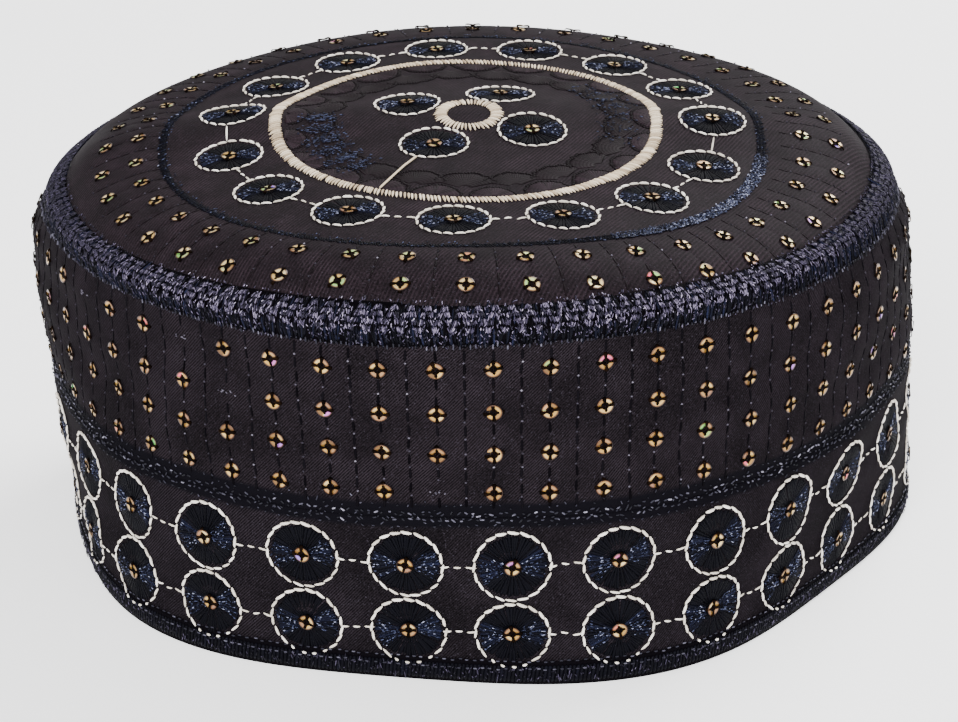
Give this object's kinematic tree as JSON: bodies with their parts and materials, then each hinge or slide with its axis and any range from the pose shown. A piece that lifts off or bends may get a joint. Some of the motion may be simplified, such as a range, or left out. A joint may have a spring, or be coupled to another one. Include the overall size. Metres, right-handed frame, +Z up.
{
  "type": "embroidered round cap",
  "caption": "Soft round cap with a flat embroidered top, a rolled seam, a quilted side and a bound hem.",
  "frame": {"origin": "centre of the cap's box in plan, on the surface that its hem rests on", "axes": "+Z up out of the crown, -Y to the front, +X to the right seen from the front"},
  "size_m": [0.2082, 0.1841, 0.101],
  "materials": {
    "crown_cloth": "black satin twill, quilted, with gold sequins and white and navy thread",
    "rim_thread": "navy and violet overcast zigzag thread",
    "wall_cloth": "black satin twill with upright stitch lines and gold sequins",
    "band_cloth": "black satin twill with two rows of navy medallions outlined in white",
    "hem_thread": "dark navy overcast thread"
  },
  "bodies": {
    "root": {"crown": "crown_cloth", "rim_seam": "rim_thread", "side_wall": "wall_cloth", "lower_band": "band_cloth", "hem_binding": "hem_thread"}
  },
  "joints": []
}
